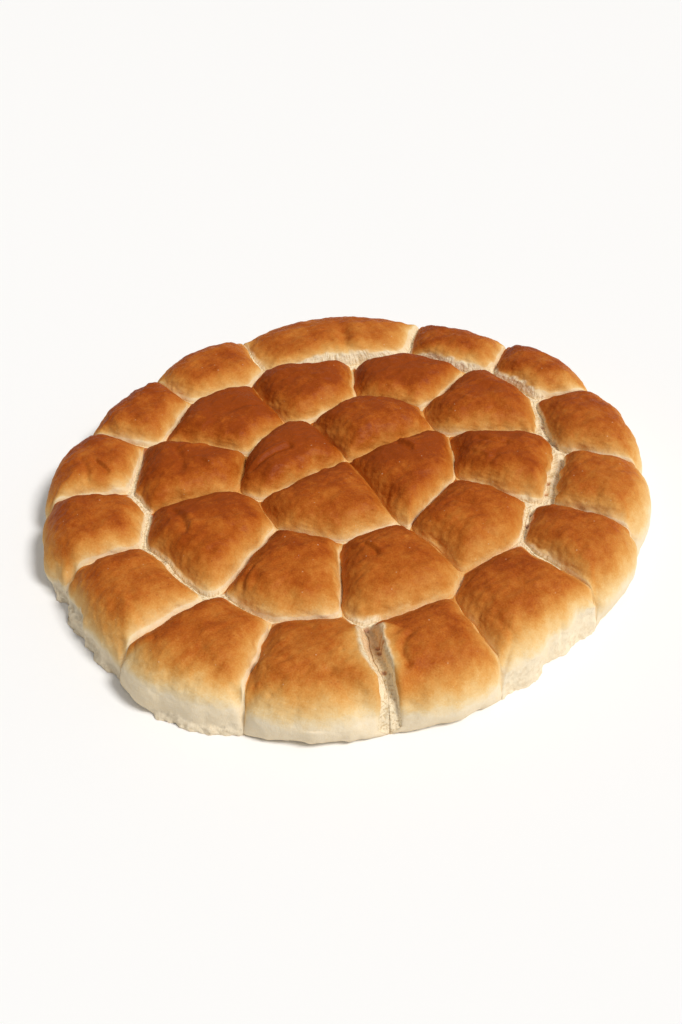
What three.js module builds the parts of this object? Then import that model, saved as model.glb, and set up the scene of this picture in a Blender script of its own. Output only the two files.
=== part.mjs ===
// A wheel of pull-apart bread: soft white rolls in three rings, risen until they kiss and baked as one round.
// Each roll is a solid of its own, a hair's breadth clear of its neighbours.
// Millimetres, +Z up. Clock angles are degrees from the back (+Y), clockwise seen from above.
import * as THREE from "three";

// Ring curves about the hub. A lobe is [bulges round the ring, height of a bulge, clock of a bulge].
const RIM = { radius: 231, lobes: [[1, 5, 182], [2, 11, 46]] };
const OUTER_SEAM = { radius: 157.5, lobes: [[2, 12.8, 45], [3, 4.9, 55]] };
const INNER_SEAM = { radius: 80, lobes: [[1, 4, 27], [2, 7.5, 36], [3, 3, 27]] };
const HEART = [0.5, 10]; // where the four inner rolls meet, off the hub
const SEAM_TUCK = 5.5; // how far a joint draws a seam towards its own ring

// Joints between the rolls of a ring, as [clock at the inner end, clock at the outer end].
const OUTER_JOINTS = [
  [17.5, 17], [42.5, 38], [59, 62.5], [81, 88], [105, 108], [124, 129], [153.5, 154], [177, 174],
  [198, 196.5], [215, 219], [239, 240.5], [260.5, 260], [280, 283.5], [304, 307], [331.5, 333],
];
const MIDDLE_JOINTS = [
  [2.5, 2], [37.5, 37], [62, 74], [97, 106], [147.5, 145],
  [184, 182], [218, 213], [252.5, 251], [284, 282], [319.5, 324],
];
const INNER_JOINTS = [53, 151, 241, 333];

// How far each outer joint nips in from the rim curve, and how far the roll after it bulges past the curve.
const RIM_NIPS = [4, 4, 4, 2, 4, 4, 0, 0, -2, 2, 13, 3, 8, 8, 4];
const OUTER_REACH = [-10, 0, 2, 1, 1, 0, 7, 7, 8, -6, -3, -2, -8, 0, 3];

// Heights of the crust.
const CROWNS = { outer: 46, middle: 49, inner: 50 };
const CROWN_SPREAD = 3;
const CREASE_FLOOR = 27; // where kissing rolls part
const OPEN_FLOOR = 14; // the same in a crease that has pulled open
const RIM_RISE = 14; // widest level of the free outer sides
const SOLE_TUCK = 9; // how far the sole stands in from the rim
const HEEL = 0.3; // share of the tuck and of the rise at the heel, just above the sole
const RIM_FALL = 26; // length over which a joint's crease drops to the rim
const SWELL_POWER = 0.55; // how full the free outer sides are between their joints

// Creases that pulled open: a patch on the wheel and the gap at its middle.
const CREASE_GAP = 1.6;
const OPENINGS = [
  { clock: 88, clockSpread: 36, radius: 160, radiusSpread: 30, gap: 8 },
  { clock: 175.5, clockSpread: 7, radius: 205, radiusSpread: 45, gap: 9 },
  { clock: 262, clockSpread: 34, radius: 158, radiusSpread: 24, gap: 3 },
  { clock: 0, clockSpread: 26, radius: 160, radiusSpread: 24, gap: 4 },
];
const WIDE_GAP = 8; // a gap this wide is open down to OPEN_FLOOR

// Facets and clearance.
const SIDE_STEP = 10;
const SHOULDER_RINGS = 4;
const CREASE_SHOULDER = { fall: 0.74, rise: 0.86 }; // under 1 is squarer than an ellipse
const RIM_SHOULDER = { fall: 0.95, rise: 1 };
const SOFTENING_PASSES = 8; // how far the corners are rounded off
const SOFT_FROM = 0.6; // share of the way in from which level lines are fully rounded
const HALF_CLEARANCE = 0.15;

const COLOURS = { outer: 0xc98543, middle: 0xb5682b, inner: 0xad5f27 };
const CRUST_ROUGHNESS = 0.55;

const { lerp, smoothstep, degToRad } = THREE.MathUtils;

function onClock(clock, radius) {
  const angle = degToRad(clock);
  return new THREE.Vector2(radius * Math.sin(angle), radius * Math.cos(angle));
}

function ringRadius(ring, clock) {
  const bulge = ([count, height, peak]) => height * Math.cos(count * degToRad(clock - peak));
  return ring.lobes.reduce((radius, lobe) => radius + bulge(lobe), ring.radius);
}

// Shortest turn from one clock angle to another, -180 to 180.
const turn = (from, to) => ((((to - from) % 360) + 540) % 360) - 180;
// Clockwise turn from one clock angle to another, 0 to 360.
const sweep = (from, to) => (((to - from) % 360) + 360) % 360;

function seamPoint(seam, clock, side) {
  return onClock(clock, ringRadius(seam, clock) + side * SEAM_TUCK);
}

// Width of the crease at a point of the plan.
function creaseGap(point) {
  const clock = THREE.MathUtils.radToDeg(Math.atan2(point.x, point.y));
  const gaps = OPENINGS.map((opening) => {
    const along = turn(opening.clock, clock) / opening.clockSpread;
    const across = (point.length() - opening.radius) / opening.radiusSpread;
    return opening.gap * Math.exp(-(along ** 2) - across ** 2);
  });
  return Math.max(CREASE_GAP, ...gaps);
}

// Points from one corner towards the next, without the next.
function straightSide(from, to) {
  const steps = Math.max(1, Math.round(from.distanceTo(to) / SIDE_STEP));
  return Array.from({ length: steps }, (_, i) => from.clone().lerp(to, i / steps));
}

// Swell of a free outer side: none at its two joints, full at its middle.
const swell = (share) => Math.sin(Math.PI * share) ** SWELL_POWER;

// The free outer side of outer roll i, from rim joint to rim joint, both included.
function rimSide(i) {
  const next = (i + 1) % OUTER_JOINTS.length;
  const fromClock = OUTER_JOINTS[i][1];
  const span = sweep(fromClock, OUTER_JOINTS[next][1]);
  const steps = Math.round((degToRad(span) * RIM.radius) / SIDE_STEP);
  return Array.from({ length: steps + 1 }, (_, step) => {
    const share = step / steps;
    const clock = fromClock + span * share;
    const nip = lerp(RIM_NIPS[i], RIM_NIPS[next], share);
    return onClock(clock, ringRadius(RIM, clock) + lerp(-nip, OUTER_REACH[i], swell(share)));
  });
}

// Those of a seam's corners, given as [clock, point], that lie between two clock angles, counter-clockwise.
function seamCorners(corners, fromClock, toClock) {
  return corners
    .filter(([clock]) => sweep(fromClock, clock) > 0 && sweep(fromClock, clock) < sweep(fromClock, toClock))
    .sort((a, b) => sweep(fromClock, b[0]) - sweep(fromClock, a[0]))
    .map(([, point]) => point);
}

function closedLoop(corners) {
  return corners.flatMap((corner, i) => straightSide(corner, corners[(i + 1) % corners.length]));
}

// Footprint of each roll: its ring, its loop of points (clockwise) and those of them on the rim.
function footprints() {
  const outerSeamInside = MIDDLE_JOINTS.map(([, clock]) => [clock, seamPoint(OUTER_SEAM, clock, -1)]);
  const innerSeamInside = INNER_JOINTS.map((clock) => [clock, seamPoint(INNER_SEAM, clock, -1)]);
  const outerSeamOutside = OUTER_JOINTS.map(([clock]) => [clock, seamPoint(OUTER_SEAM, clock, 1)]);
  const innerSeamOutside = MIDDLE_JOINTS.map(([clock]) => [clock, seamPoint(INNER_SEAM, clock, 1)]);
  const heart = new THREE.Vector2(...HEART);

  const outer = OUTER_JOINTS.map(([clock], i) => {
    const next = (i + 1) % OUTER_JOINTS.length;
    const rim = rimSide(i);
    const start = outerSeamOutside[i][1];
    const seam = seamCorners(outerSeamInside, clock, OUTER_JOINTS[next][0]);
    const back = [rim.at(-1), outerSeamOutside[next][1], ...seam, start];
    const home = back.slice(0, -1).flatMap((corner, k) => straightSide(corner, back[k + 1]));
    return { ring: "outer", loop: [...straightSide(start, rim[0]), ...rim.slice(0, -1), ...home], rim };
  });
  const middle = MIDDLE_JOINTS.map(([clock, outClock], i) => {
    const next = (i + 1) % MIDDLE_JOINTS.length;
    const [nextClock, nextOutClock] = MIDDLE_JOINTS[next];
    const far = seamCorners(outerSeamOutside, outClock, nextOutClock).reverse();
    const near = seamCorners(innerSeamInside, clock, nextClock);
    const corners = [innerSeamOutside[i][1], outerSeamInside[i][1], ...far];
    corners.push(outerSeamInside[next][1], innerSeamOutside[next][1], ...near);
    return { ring: "middle", loop: closedLoop(corners), rim: [] };
  });
  const inner = INNER_JOINTS.map((clock, i) => {
    const next = (i + 1) % INNER_JOINTS.length;
    const far = seamCorners(innerSeamOutside, clock, INNER_JOINTS[next]).reverse();
    const corners = [heart, innerSeamInside[i][1], ...far, innerSeamInside[next][1]];
    return { ring: "inner", loop: closedLoop(corners), rim: [] };
  });
  return [...outer, ...middle, ...inner];
}

// Area centroid of a closed loop.
function centroid(loop) {
  const sum = new THREE.Vector3();
  loop.forEach((a, i) => {
    const b = loop[(i + 1) % loop.length];
    const cross = a.cross(b);
    sum.add(new THREE.Vector3((a.x + b.x) * cross, (a.y + b.y) * cross, 3 * cross));
  });
  return new THREE.Vector2(sum.x / sum.z, sum.y / sum.z);
}

// Inward vector at each point of a counter-clockwise loop that moves both its sides in by one unit.
function inwardMiters(loop) {
  const normal = (a, b) => new THREE.Vector2(a.y - b.y, b.x - a.x).normalize();
  return loop.map((point, i) => {
    const before = normal(loop.at(i - 1), point);
    const after = normal(point, loop[(i + 1) % loop.length]);
    return before.clone().add(after).divideScalar(1 + before.dot(after));
  });
}

// Radii about the centre with the corners softened, for the crown's rounder level lines.
function softened(radii) {
  let soft = radii;
  for (let pass = 0; pass < SOFTENING_PASSES; pass += 1) {
    soft = soft.map((radius, i) => (soft.at(i - 1) + 2 * radius + soft[(i + 1) % soft.length]) / 4);
  }
  return soft;
}

// Level rings of a roll from sole to crown, about its centre, ending with the crown's top point.
function rollRings(footprint, crown) {
  const loop = [...footprint.loop].reverse();
  const centre = centroid(loop);
  const miters = inwardMiters(loop);
  const rimEnds = footprint.rim.length ? [footprint.rim[0], footprint.rim.at(-1)] : [];
  const sides = loop.map((point, i) => {
    const gap = creaseGap(point);
    const toRim = Math.min(...rimEnds.map((end) => end.distanceTo(point)), Infinity);
    const place = footprint.rim.indexOf(point);
    const rim = place < 0 ? 1 - smoothstep(toRim, 0, RIM_FALL) : 1;
    const tuck = place < 0 ? 0 : SOLE_TUCK * swell(place / (footprint.rim.length - 1));
    const floor = lerp(CREASE_FLOOR, OPEN_FLOOR, smoothstep(gap, CREASE_GAP, WIDE_GAP));
    const at = (inset, z) => {
      const flat = point.clone().addScaledVector(miters[i], inset).sub(centre);
      return new THREE.Vector3(flat.x, flat.y, z);
    };
    return {
      rim,
      sole: at(HALF_CLEARANCE + tuck, 0),
      kiss: at(HALF_CLEARANCE + HEEL * tuck, lerp(floor, HEEL * RIM_RISE, rim)),
      foot: at(lerp(HALF_CLEARANCE + gap / 2, HALF_CLEARANCE, rim), lerp(floor + 1, RIM_RISE, rim)),
    };
  });
  const feet = sides.map((side) => side.foot);
  const radii = feet.map((foot) => Math.hypot(foot.x, foot.y));
  const soft = softened(radii);
  const shoulder = (step) => {
    const quarter = (Math.PI / 2) * (step / (SHOULDER_RINGS + 1));
    return feet.map((foot, i) => {
      const fall = Math.cos(quarter) ** lerp(CREASE_SHOULDER.fall, RIM_SHOULDER.fall, sides[i].rim);
      const rise = Math.sin(quarter) ** lerp(CREASE_SHOULDER.rise, RIM_SHOULDER.rise, sides[i].rim);
      const scale = fall * lerp(1, soft[i] / radii[i], smoothstep(1 - fall, 0, SOFT_FROM));
      return new THREE.Vector3(foot.x * scale, foot.y * scale, lerp(foot.z, crown, rise));
    });
  };
  const shoulders = Array.from({ length: SHOULDER_RINGS }, (_, i) => shoulder(i + 1));
  const rings = [sides.map((side) => side.sole), sides.map((side) => side.kiss), feet, ...shoulders];
  return { centre, rings, top: new THREE.Vector3(0, 0, crown) };
}

// Closed skin over level rings, fanned shut at the sole and at the top.
function skin(rings, top) {
  const count = rings[0].length;
  const points = [...rings.flat(), top, new THREE.Vector3()];
  const topIndex = points.length - 2;
  const soleIndex = points.length - 1;
  const faces = [];
  for (let i = 0; i < count; i += 1) {
    const j = (i + 1) % count;
    for (let level = 0; level < rings.length - 1; level += 1) {
      const low = level * count;
      const high = low + count;
      faces.push(low + i, low + j, high + i, low + j, high + j, high + i);
    }
    const last = (rings.length - 1) * count;
    faces.push(last + i, last + j, topIndex, j, i, soleIndex);
  }
  const geometry = new THREE.BufferGeometry().setFromPoints(points);
  geometry.setIndex(faces);
  geometry.computeVertexNormals();
  return geometry;
}

// Seeded draws from 0 to 1, the same on every run.
function seededDraws(seed) {
  let state = seed;
  return () => {
    state = (Math.imul(state, 1664525) + 1013904223) >>> 0;
    return state / 2 ** 32;
  };
}

function buildWheel() {
  const wheel = new THREE.Group();
  const rings = Object.fromEntries(Object.keys(CROWNS).map((ring) => [ring, new THREE.Group()]));
  const draw = seededDraws(29);
  for (const footprint of footprints()) {
    const ring = rings[footprint.ring];
    const crown = CROWNS[footprint.ring] + CROWN_SPREAD * (draw() - 0.5);
    const { centre, rings: levels, top } = rollRings(footprint, crown);
    const crust = new THREE.MeshStandardMaterial({
      color: COLOURS[footprint.ring],
      roughness: CRUST_ROUGHNESS,
      metalness: 0,
    });
    const roll = new THREE.Mesh(skin(levels, top), crust);
    roll.name = `${footprint.ring}_roll_${String(ring.children.length + 1).padStart(2, "0")}`;
    roll.position.set(centre.x, centre.y, 0);
    ring.add(roll);
  }
  wheel.add(...Object.values(rings));
  const middle = new THREE.Box3().setFromObject(wheel).getCenter(new THREE.Vector3());
  Object.values(rings).forEach((ring) => ring.position.set(-middle.x, -middle.y, 0));
  return wheel;
}

export default buildWheel();
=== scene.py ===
import math
from types import SimpleNamespace

import bpy
import numpy as np
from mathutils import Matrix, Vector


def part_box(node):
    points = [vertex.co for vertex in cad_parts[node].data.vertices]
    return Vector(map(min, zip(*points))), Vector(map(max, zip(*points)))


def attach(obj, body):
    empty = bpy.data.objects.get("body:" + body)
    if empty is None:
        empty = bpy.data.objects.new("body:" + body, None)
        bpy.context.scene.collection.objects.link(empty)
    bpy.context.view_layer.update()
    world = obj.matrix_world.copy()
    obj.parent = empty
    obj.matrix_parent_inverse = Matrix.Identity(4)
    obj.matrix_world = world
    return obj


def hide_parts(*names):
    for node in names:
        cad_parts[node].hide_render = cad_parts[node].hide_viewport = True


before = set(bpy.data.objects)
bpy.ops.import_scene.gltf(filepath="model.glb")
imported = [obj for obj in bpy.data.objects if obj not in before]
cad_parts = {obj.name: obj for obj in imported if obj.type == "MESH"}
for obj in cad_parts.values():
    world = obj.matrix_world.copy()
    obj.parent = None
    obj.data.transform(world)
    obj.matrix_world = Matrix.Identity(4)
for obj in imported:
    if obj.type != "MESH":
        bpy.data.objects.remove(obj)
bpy.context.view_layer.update()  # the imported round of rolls, one node a roll, all on one body
mm = 0.001


# Smooth step from 0 at low to 1 at high.
def smooth(x, low, high):
    t = np.clip((x - low) / (high - low), 0.0, 1.0)
    return t * t * (3.0 - 2.0 * t)


# The share t of the way from a to b.
def mix(a, b, t):
    return a + (b - a) * t


# Even noise of one length scale: the mean of cosine waves in random directions, about -1 to 1.
def waveNoise(points, size, seed, waves=40):
    rng = np.random.default_rng(seed)
    headings = rng.normal(size=(waves, points.shape[-1]))
    headings /= np.linalg.norm(headings, axis=1, keepdims=True)
    pulls = headings * (2 * np.pi / size) * rng.uniform(0.6, 1.5, (waves, 1))
    return np.cos(points @ pulls.T + rng.uniform(0, 2 * np.pi, waves)).sum(-1) * math.sqrt(2.0 / waves) * 0.7


# Sum of noises, each given as (height, length), their seeds one after another.
def noises(points, layers, seed):
    return sum(height * waveNoise(points, length, seed + k) for k, (height, length) in enumerate(layers))


# Values round a closed loop, rounded over a length: a Gaussian in the frequency domain.
def rounded(values, spacing, length):
    count = len(values)
    frequency = np.fft.rfftfreq(count, spacing)
    damp = np.exp(-0.5 * (2 * np.pi * frequency * length) ** 2)
    shape = (-1,) + (1,) * (values.ndim - 1)
    return np.fft.irfft(np.fft.rfft(values, axis=0) * damp.reshape(shape), count, axis=0)


# Height of a line's bump at points: its height times the Gaussian of the distance over its width.
def lineBump(points, start, end, width, height, sag=0.0):
    start, end = np.array(start, float), np.array(end, float)
    run = end - start
    near = points[..., :len(start)]
    t = np.clip((near - start) @ run / (run @ run), 0.0, 1.0)[..., None]
    closest = start + run * t
    if sag:
        closest = closest + np.array([-run[1], run[0]]) / np.hypot(*run) * sag * 4.0 * t * (1.0 - t)
    return height * np.exp(-((near - closest) ** 2).sum(-1) / width ** 2)


# The same at a spot, over a short length along x.
def spotBump(points, spot, length, width, height):
    return lineBump(points, spot, (spot[0] + length, spot[1]), width, height)


# Plan of the round, in millimetres and clock degrees: 0 is the back (+Y), clockwise seen from above.
# A lobe is (bulges round the ring, height of a bulge, clock of a bulge).
plan = {
    "rim": {"radius": 231.0, "lobes": [(1, 5.0, 182.0), (2, 11.0, 46.0)]},
    "outerSeam": {"radius": 157.5, "lobes": [(2, 12.8, 45.0), (3, 4.9, 55.0)]},
    "innerSeam": {"radius": 80.0, "lobes": [(1, 4.0, 27.0), (2, 7.5, 36.0), (3, 3.0, 27.0)]},
    "heart": (0.5, 10.0),  # where the four inner rolls meet, off the hub
    "seamTuck": 5.5,  # how far a joint draws a seam towards its own ring
    "outerJoints": [  # (clock at the inner end, clock at the outer end)
        (17.5, 17), (42.5, 38), (59, 62.5), (81, 88), (105, 108), (124, 129), (153.5, 154), (177, 174),
        (198, 196.5), (215, 219), (239, 240.5), (260.5, 260), (280, 283.5), (304, 307), (331.5, 333)],
    "middleJoints": [
        (2.5, 2), (37.5, 37), (62, 74), (97, 106), (147.5, 145),
        (184, 182), (218, 213), (252.5, 251), (284, 282), (319.5, 324)],
    "innerJoints": [53, 151, 241, 333],
    "rimNips": [4, 4, 4, 2, 4, 4, 0, 0, -2, 2, 13, 3, 8, 8, 4],  # how far the rim draws in at a joint
    "outerReach": [-10, 0, 2, 1, 1, 0, 7, 7, 8, -6, -3, -2, -8, 0, 3],  # how far a roll swells past the rim
    "swellPower": 0.55,
    "step": 0.5,  # between a footprint's points
    "wander": [(1.1, 30.0), (0.22, 9.0)],  # creases wander by (millimetres, over this length)
}


# Place in plan from a clock and a radius.
def onClock(clock, radius):
    angle = np.radians(clock)
    return np.stack([radius * np.sin(angle), radius * np.cos(angle)], -1)


# Clock and radius of places in plan.
def clockAndRadius(points):
    return np.degrees(np.arctan2(points[..., 0], points[..., 1])), np.hypot(points[..., 0], points[..., 1])


# Turn from one clock to another, -180 to 180.
def turnFrom(clock, middle):
    return (clock - middle + 180.0) % 360.0 - 180.0


# Turn clockwise from one clock to another, 0 to 360.
def sweep(fromClock, toClock):
    return (toClock - fromClock) % 360.0


# Ring radius: the mean radius plus each lobe's cosine of the clock.
def ringRadius(ring, clock):
    waves = [size * np.cos(count * np.radians(clock - peak)) for count, size, peak in ring["lobes"]]
    return ring["radius"] + sum(waves)


# Where a joint meets a seam: on its ring, tucked out (side 1) or in (side -1).
def seamPoint(ring, clock, side):
    return onClock(clock, ringRadius(ring, clock) + side * plan["seamTuck"])


# Corners, given as (clock, point), that lie between two clocks, clockwise.
def cornersBetween(corners, fromClock, toClock):
    span = sweep(fromClock, toClock)
    turns = [(sweep(fromClock, clock), point) for clock, point in corners]
    inside = sorted((corner for corner in turns if 0 < corner[0] < span), key=lambda corner: corner[0])
    return [point for turn, point in inside]


# Dense points along a chain of corners, the last corner left out.
def straightRun(corners):
    runs = []
    for a, b in zip(corners[:-1], corners[1:]):
        count = max(2, int(np.hypot(*(b - a)) / plan["step"]))
        runs.append(a + (b - a) * (np.arange(count) / count)[:, None])
    return np.concatenate(runs)


# Free outer side of outer roll i: the rim curve, nipped at its joints and swelling between them.
def rimRun(i):
    after = (i + 1) % len(plan["outerJoints"])
    fromClock = plan["outerJoints"][i][1]
    span = sweep(fromClock, plan["outerJoints"][after][1])
    count = int(math.radians(span) * plan["rim"]["radius"] / plan["step"])
    share = np.arange(count + 1) / count
    clock = fromClock + span * share
    swell = np.sin(np.pi * np.minimum(share, 1.0 - share)) ** plan["swellPower"]
    nip = mix(plan["rimNips"][i], plan["rimNips"][after], share)
    radius = ringRadius(plan["rim"], clock) + mix(-nip, plan["outerReach"][i], swell)
    return onClock(clock, radius), swell


# Footprint of each roll as a dense clockwise loop of sides: free, joint (same ring) or seam (next ring).
def footprints():
    outerSeam, innerSeam = plan["outerSeam"], plan["innerSeam"]
    outerIn = [(far, seamPoint(outerSeam, far, -1)) for near, far in plan["middleJoints"]]
    outerOut = [(near, seamPoint(outerSeam, near, 1)) for near, far in plan["outerJoints"]]
    innerIn = [(clock, seamPoint(innerSeam, clock, -1)) for clock in plan["innerJoints"]]
    innerOut = [(near, seamPoint(innerSeam, near, 1)) for near, far in plan["middleJoints"]]
    found = []
    for i, (clock, point) in enumerate(outerOut):
        nextClock, nextPoint = outerOut[(i + 1) % len(outerOut)]
        rim, swell = rimRun(i)
        near = cornersBetween(outerIn, clock, nextClock)[::-1]
        sides = [
            ("joint", straightRun([point, rim[0]])), ("free", rim[:-1]),
            ("joint", straightRun([rim[-1], nextPoint])), ("seam", straightRun([nextPoint, *near, point]))]
        found.append(footprint("outer", i, sides, swell[:-1], rim[[0, -1]]))
    for i, (clock, point) in enumerate(innerOut):
        after = (i + 1) % len(innerOut)
        nextClock, nextPoint = innerOut[after]
        (farClock, farPoint), (farNextClock, farNextPoint) = outerIn[i], outerIn[after]
        far = cornersBetween(outerOut, farClock, farNextClock)
        near = cornersBetween(innerIn, clock, nextClock)[::-1]
        sides = [
            ("joint", straightRun([point, farPoint])), ("seam", straightRun([farPoint, *far, farNextPoint])),
            ("joint", straightRun([farNextPoint, nextPoint])),
            ("seam", straightRun([nextPoint, *near, point]))]
        found.append(footprint("middle", i, sides))
    heart = np.array(plan["heart"])
    for i, (clock, point) in enumerate(innerIn):
        nextClock, nextPoint = innerIn[(i + 1) % len(innerIn)]
        far = cornersBetween(innerOut, clock, nextClock)
        sides = [
            ("joint", straightRun([heart, point])), ("seam", straightRun([point, *far, nextPoint])),
            ("joint", straightRun([nextPoint, heart]))]
        found.append(footprint("inner", i, sides))
    return found


# One footprint's loop with what is known along it: its free side, that side's swell and share, and the two
# ends of the pale band.
def footprint(ring, order, sides, swell=None, rimEnds=None):
    bands = browning["pale"][ring]
    free = np.concatenate([np.full(len(run), side == "free", float) for side, run in sides])
    marks = {"free": free, "swell": np.zeros(len(free)), "share": np.zeros(len(free))}
    if swell is not None:
        marks["swell"][free > 0] = swell
        marks["share"][free > 0] = np.linspace(0.0, 1.0, len(swell))
    for end, mark in enumerate(("palest", "brownest")):
        marks[mark] = np.concatenate([np.full(len(run), bands[side][end]) for side, run in sides])
    return {"name": f"{ring}_roll_{order + 1:02d}", "ring": ring, "order": order, "rimEnds": rimEnds,
            "loop": np.concatenate([run for side, run in sides]), "marks": marks}


# Creases, in millimetres.
creases = {
    "gap": 0.8,
    "wideGap": 8.0,
    "openings": [  # where they pulled open: clock and its spread, radius and its spread, gap at the middle
        (88, 36, 160, 30, 8.5), (240, 4, 234, 20, 6.0), (255, 40, 158, 24, 3.6), (0, 26, 160, 24, 6.5)],
    "uneven": (0.2, 16.0),  # share and length of a wide gap's unevenness
    "mouth": (4.0, 9.0),  # gaps between which a crease turns into an open mouth
    "floor": 30.5,
    "openFloor": 26.0,
    "floorNoise": [(0.6, 20.0)],
    "crest": 0.35,  # a crease floor's rise to its middle, of half its gap
    "clearance": 0.03,
}

# The joint that stands open.
trench = {
    "joint": 7,
    "gap": 9.5,
    "head": (-10.0, 14.0),  # it opens between these lengths from the seam
    "fade": 30.0,  # how far off its line the crust is still pushed
    "depth": (17.0, 9.0),  # under the crust's edge, at the head and at the mouth
    "mouthRun": 60.0,
    "mouthRise": 7.0,  # widest level of the crust beside the mouth
    "lean": {"outer_roll_07": 1.5, "outer_roll_08": 7.5},  # how much a wall rises over its ledge
    "torn": {"outer_roll_07": 0.95, "outer_roll_08": 0.62},  # share of the depth that is torn
    "pale": {"outer_roll_07": 1.0, "outer_roll_08": -4.0},  # widens or narrows the pale edge
    "shade": (0.36, 0.42),  # painted shade deep in it: the least bake there, and how much less crumb shows
}


# Gap of the crease at points of the plan: the widest of the round's openings there.
def creaseGap(points):
    clock, radius = clockAndRadius(points)
    gap = np.full(len(points), creases["gap"])
    for middle, clockSpread, ring, radiusSpread, widest in creases["openings"]:
        along, across = turnFrom(clock, middle) / clockSpread, (radius - ring) / radiusSpread
        gap = np.maximum(gap, widest * np.exp(-along ** 2 - across ** 2))
    return gap


# How far the crust stands off the line of the open joint: half the gap on the line, less away from it. Gives
# the push in plan and its size on the line itself.
def trenchPush(points, cell):
    if cell["ring"] != "outer" or cell["order"] not in (trench["joint"] - 1, trench["joint"]):
        return np.zeros_like(points), np.zeros(len(points))
    inner, outer = plan["outerJoints"][trench["joint"]]
    start, end = seamPoint(plan["outerSeam"], inner, 1), onClock(outer, ringRadius(plan["rim"], outer))
    along = (end - start) / np.hypot(*(end - start))
    side = np.array([-along[1], along[0]])
    run, off = (points - start) @ along, (points - start) @ side
    half = 0.5 * trench["gap"] * smooth(run, *trench["head"])
    toward = side * np.sign((points.mean(0) - start) @ side)
    push = toward * (half * (1.0 - smooth(np.abs(off), 0.0, trench["fade"])))[:, None]
    return push, half * (1.0 - smooth(np.abs(off), 1.0, 4.0))


# Torn crumb, in millimetres.
tears = {
    "creases": [  # clock and its spread, distance off the outer seam and its spread, height, only on
        (0, 999, 0, 6, 1.6), (0, 25, 3, 14, 3.5), (359, 20, 0, 16, 13.0, "outer_roll_15"),
        (31, 12, 0, 14, 9.0, "outer_roll_01"), (52, 11, 0, 14, 9.0, "outer_roll_02"), (90, 38, 0, 16, 4.0),
        (125, 6, 24, 22, 3.0), (176.5, 4, 0, 12, 5.0), (238, 44, 0, 8, 3.0), (331, 6, 30, 30, 2.5),
        (17, 5, 30, 30, 2.5)],
    "ragged": (0.16, 0.05, 9.0),  # its unevenness in a crease and in the open joint, and over what length
    "rims": [  # roll, from and to on its free side, height, how far crust and foot stand in, rough, run-out
        ("outer_roll_06", -0.5, 0.82, 22.0, 8.5, 6.5, 0.4, 0.45),
        ("outer_roll_06", 0.54, 1.1, 20.0, 2.0, 0.0, 0.4, 0.1),
        ("outer_roll_09", -0.3, 0.8, 6.5, 2.2, 0.0, 0.7, 0.25),
        ("outer_roll_10", 0.38, 1.4, 17.0, 7.0, 0.0, 1.2, 0.35),
        ("outer_roll_10", -0.1, 0.6, 9.0, 3.0, 0.0, 0.6, 0.1),
        ("outer_roll_11", -0.4, 0.36, 14.0, 5.0, 0.0, 1.0, 0.3)],
    "rimTop": [(0.16, 24.0)],  # unevenness of that height, of how far the crust stands in, and of the edge
    "rimFlare": [(0.2, 18.0)],
    "rimEdge": [(1.6, 8.0), (0.8, 3.2)],
    "runOut": 16.0,  # a flare runs out over this length beside a joint
    "rimShare": 0.4,  # how much of the open crumb shows on a torn rim, soft as it is
    "crag": [(0.35, 6.0), (0.25, 2.8)],
    "steps": [(1.0, 15.0)],  # coarse crags of a rough rim tear
    "pockets": [  # holes in the torn crumb, in plan
        (160.5, 77.5), (156.0, 61.0), (161.9, 38.3), (150.8, -10.8), (148.0, -21.6), (134.8, -49.5),
        (129.5, -62.9), (10.3, -168.0), (17.2, -186.1), (18.4, -191.5), (20.5, -209.0)],
    # A pocket: its radius and depth, and the bake that paints shade down in it.
    "pocket": {"radius": 1.4, "depth": 1.6, "bake": 0.9},
}


# Height of torn crumb up a crease's wall: the highest of the torn patches there, some on one roll only.
def tornBand(points, name):
    clock, radius = clockAndRadius(points)
    off = radius - ringRadius(plan["outerSeam"], clock)
    band = np.zeros(len(points))
    for middle, clockSpread, offMiddle, offSpread, height, *only in tears["creases"]:
        along, across = turnFrom(clock, middle) / clockSpread, (off - offMiddle) / offSpread
        if not only or name in only:
            band = np.maximum(band, height * np.exp(-along ** 4 - across ** 4))
    return band


# A roll's torn free side: the share torn, the height of the tear, how far the crust above it and the foot
# below it stand in, and how rough it is. Where tears meet, the greater holds.
def rimTear(at):
    torn, top, flare, foot, rough = np.zeros((5, len(at.points)))
    share = at.marks["share"]
    topWave = 1.0 + noises(at.points, tears["rimTop"], seed=23)
    flareWave = 1.0 + noises(at.points, tears["rimFlare"], seed=25)
    for name, start, end, height, out, under, crags, runOut in tears["rims"]:
        if name == at.name:
            inside = smooth(share, start, start + runOut) * (1.0 - smooth(share, end - runOut, end))
            inside = inside * at.marks["free"]
            torn = np.maximum(torn, inside)
            top = np.maximum(top, height * topWave * inside)
            flare = np.maximum(flare, out * flareWave * inside * smooth(at.toRim, 0.0, tears["runOut"]))
            foot = np.maximum(foot, under * inside * smooth(share, 0.0, 0.25))
            rough = np.maximum(rough, crags * inside)
    return SimpleNamespace(torn=torn, top=top, flare=flare, foot=foot, rough=rough)


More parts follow.
